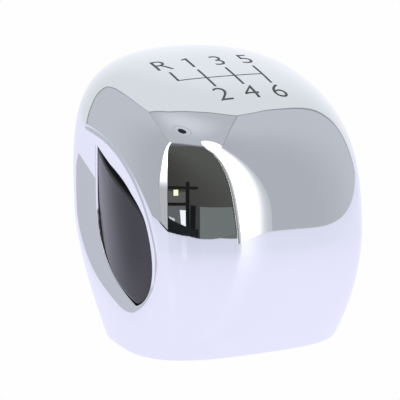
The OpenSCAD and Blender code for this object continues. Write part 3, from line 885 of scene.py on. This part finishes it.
def glowMaterial(name, glow, seen=None):
    # a glow of its own; seen is the colour for the camera itself
    material = bpy.data.materials.new(name)
    material.use_nodes = True
    nodes, links = material.node_tree.nodes, material.node_tree.links
    nodes.clear()
    out = nodes.new("ShaderNodeOutputMaterial")
    light = nodes.new("ShaderNodeEmission")
    colours = glow["colours"]
    light.inputs["Color"].default_value = (*colours[0], 1)
    if len(colours) > 1:
        place, share, blend = (nodes.new("ShaderNodeTexCoord"), nodes.new("ShaderNodeMapRange"),
                               nodes.new("ShaderNodeMix"))
        measure = nodes.new("ShaderNodeVectorMath")
        links.new(place.outputs["Object"], measure.inputs[0])
        if "centre" in glow:
            measure.operation = "DISTANCE"
            measure.inputs[1].default_value = tuple(tentPoint(*glow["centre"]))
            low, high = glow["reach"][0] * mm, glow["reach"][1] * mm
        else:
            measure.operation = "DOT_PRODUCT"
            start, end = tentPoint(*glow["from"]), tentPoint(*glow["to"])
            way = (end - start) / np.linalg.norm(end - start)
            measure.inputs[1].default_value = tuple(way)
            low, high = float(start @ way), float(end @ way)
        links.new(measure.outputs["Value"], share.inputs["Value"])
        share.inputs["From Min"].default_value = low
        share.inputs["From Max"].default_value = high
        share.interpolation_type = "SMOOTHSTEP"
        blend.data_type = "RGBA"
        links.new(share.outputs["Result"], blend.inputs[mixFactor])
        blend.inputs[mixFirst].default_value = (*colours[0], 1)
        blend.inputs[mixSecond].default_value = (*colours[1], 1)
        links.new(blend.outputs[mixResult], light.inputs["Color"])
    if seen is None:
        links.new(light.outputs["Emission"], out.inputs["Surface"])
        return material
    # the paper floor: plain for the camera, clear from below, and slightly glossy for what mirrors it
    paper, clear = nodes.new("ShaderNodeEmission"), nodes.new("ShaderNodeBsdfTransparent")
    paper.inputs["Color"].default_value = (*seen, 1)
    path, geometry = nodes.new("ShaderNodeLightPath"), nodes.new("ShaderNodeNewGeometry")
    gloss = nodes.new("ShaderNodeBsdfGlossy")
    gloss.inputs["Roughness"].default_value = tent["glossRough"]
    grazing, share = nodes.new("ShaderNodeFresnel"), nodes.new("ShaderNodeMath")
    share.operation = "MULTIPLY"
    share.inputs[1].default_value = tent["gloss"]
    links.new(grazing.outputs["Fac"], share.inputs[0])
    tree = material.node_tree
    mirrored = mixShaders(tree, share.outputs["Value"], light.outputs["Emission"], gloss.outputs["BSDF"])
    seenSides = mixShaders(tree, geometry.outputs["Backfacing"], paper.outputs["Emission"],
                           clear.outputs["BSDF"])
    whole = mixShaders(tree, path.outputs["Is Camera Ray"], mirrored, seenSides)
    links.new(whole, out.inputs["Surface"])
    return material


azimuth, elevation = math.radians(cameraPlace["azimuth"]), math.radians(cameraPlace["elevation"])
backward = np.array([-math.sin(azimuth) * math.cos(elevation), -math.cos(azimuth) * math.cos(elevation),
                     math.sin(elevation)])
rightward = np.array([math.cos(azimuth), -math.sin(azimuth), 0.0])
upward = np.cross(backward, rightward)
tentTurn = azimuth - math.radians(tent["turn"])
towardFront = np.array([-math.sin(tentTurn), -math.cos(tentTurn), 0.0])
towardLeft = np.array([-math.cos(tentTurn), math.sin(tentTurn), 0.0])


def tentPoint(front, left, height):
    return (towardFront * front + towardLeft * left + np.array([0, 0, height])) * mm


def tentSheet(name, corners, material):
    # a flat sheet with many corners, seen only in what mirrors it
    bpy.ops.object.select_all(action="DESELECT")
    bpy.ops.mesh.primitive_circle_add(vertices=len(corners), fill_type="NGON")
    sheet = bpy.context.object
    sheet.name = name
    places = np.array([tentPoint(*corner) for corner in corners])
    sheet.data.vertices.foreach_set("co", places.astype(np.float32).ravel())
    sheet.data.update()
    sheet.data.materials.append(material)
    sheet.visible_camera = False


def buildTent():
    t = tent
    front, left, right, top = t["front"], t["left"], -t["right"], t["ceiling"]
    glow = {name: glowMaterial(name + "Glow", look) for name, look in glows.items() if name != "floor"}

    def upright(name, look, place):
        # a sheet across the tent
        tentSheet(name, [(place, l, h) for l, h in t[name]], glow[look])

    def level(name, look, height):
        tentSheet(name, [(f, l, height) for f, l in t[name]], glow[look])

    upright("backSheet", "backSheet", -t["back"])
    for name, l in (("leftSheet", left), ("rightSheet", right)):
        tentSheet(name, [(f, l, h) for f, h in t[name]], glow["sideSheet"])
    level("ceilingSheet", "ceiling", top)
    level("ceilingCorner", "cornerPaper", top - 2)
    upright("frontLeftSheet", "leftPaper", front)
    upright("frontLeftRest", "sideSheet", front + 1)
    upright("frontRightSheet", "rightPaper", front)
    upright("frontTopSheet", "topPaper", front + 1)
    # the soft inner edge of the right front sheet: two strips along it
    inner, width = t["frontRightSheet"][:-2], t["softStrip"]
    for i, name in enumerate(("softOuter", "softInner")):
        tentSheet(f"frontRightEdge{i}", [(front - 1, l - width * i, h) for l, h in inner] +
                  [(front - 1, l - width * (i + 1), h) for l, h in reversed(inner)], glow[name])
    # the sheets' dark edges at the back, and the seams under the ceiling
    edges = {
        "leftEdge": [(f, left, h) for f, h in t["leftSheet"][1:7]],
        "rightEdge": [(f, right, h) for f, h in t["rightSheet"][2:]],
        "ceilingEdge": [(f, l, top) for f, l in t["ceilingSheet"][1:6]],
    }
    for name, corners in edges.items():
        behind = [(f - t["edgeStrip"], l, h) for f, l, h in reversed(corners)]
        tentSheet(name, corners + behind, glow["edge"])
    low = top - t["seamStrip"]
    for name, start, l in (("leftSeam", t["leftSheet"][6][0], left - 1),
                           ("rightSeam", t["rightSheet"][2][0], right + 1)):
        tentSheet(name, [(start, l, top), (front, l, top), (front, l, low), (start, l, low)], glow["seam"])
    for name in ("greyCard", "darkLeft", "darkRight"):
        level(name, name, 0)
    turn = np.radians(np.arange(0, 360, t["ventStep"]))
    f, l = t["vent"]
    for i, (radius, name) in enumerate(zip(t["ventRadii"], ("ventRing", "ceiling", "vent"))):
        ring = [(f + radius * math.cos(a), l + radius * math.sin(a), top - 3 - i) for a in turn]
        tentSheet(f"vent{i}", ring, glow[name])
    upright("room", "room", t["far"])
    for i, (corners, colour) in enumerate(roomThings):
        tentSheet(f"roomThing{i}", [(t["far"] - 1 - i, l, h) for l, h in corners],
                  glowMaterial(f"roomThing{i}", {"colours": (colour,)}))


def buildFloor():
    # pale paper round the knob, open under it so that the underside can be looked at from below
    bpy.ops.object.select_all(action="DESELECT")
    bpy.ops.mesh.primitive_circle_add(vertices=tent["floorCorners"], radius=tent["opening"] * mm,
                                      fill_type="NOTHING", location=(0, 0, -tent["floorGap"] * mm))
    floor = bpy.context.object
    floor.name = "floorPaper"
    bpy.ops.object.transform_apply(location=True, rotation=True, scale=True)
    bpy.ops.object.mode_set(mode="EDIT")
    bpy.ops.mesh.select_all(action="SELECT")
    bpy.ops.mesh.extrude_edges_move()
    bpy.ops.transform.resize(value=(tent["floorSpread"], tent["floorSpread"], 1))
    bpy.ops.mesh.select_all(action="SELECT")
    bpy.ops.mesh.normals_make_consistent(inside=False)
    bpy.ops.object.mode_set(mode="OBJECT")
    if floor.data.polygons[0].normal.z < 0:
        floor.data.flip_normals()
    floor.data.materials.append(glowMaterial("floorGlow", glows["floor"], tent["paper"]))


buildTent()
buildFloor()

world = bpy.data.worlds.new("studio")
scene.world = world
world.use_nodes = True
worldNodes = world.node_tree.nodes
worldNodes.clear()
worldOut, path = worldNodes.new("ShaderNodeOutputWorld"), worldNodes.new("ShaderNodeLightPath")
paper, fill = worldNodes.new("ShaderNodeBackground"), worldNodes.new("ShaderNodeBackground")
paper.inputs["Color"].default_value = (*tent["paper"], 1)
fill.inputs["Color"].default_value = (*tent["fill"], 1)
seenWorld = mixShaders(world.node_tree, path.outputs["Is Camera Ray"], fill.outputs["Background"],
                       paper.outputs["Background"])
world.node_tree.links.new(seenWorld, worldOut.inputs["Surface"])

scene.view_settings.view_transform = "Standard"
cameraData = bpy.data.cameras.new("photoCamera")
cameraData.sensor_width = cameraPlace["sensor"]
cameraData.lens = cameraPlace["focalPixels"] / cameraPlace["framePixels"] * cameraPlace["sensor"]
camera = bpy.data.objects.new("photoCamera", cameraData)
scene.collection.objects.link(camera)
centre = np.array(cameraPlace["centre"])
eye = centre + cameraPlace["distance"] * backward
aim = centre + cameraPlace["aimRight"] * rightward + cameraPlace["aimUp"] * upward
camera.location = eye * mm
camera.rotation_mode = "QUATERNION"
camera.rotation_quaternion = Vector(aim - eye).to_track_quat("-Z", "Y")
cameraData.clip_start = cameraPlace["nearest"] * mm
scene.camera = camera
print("camera and tent set")
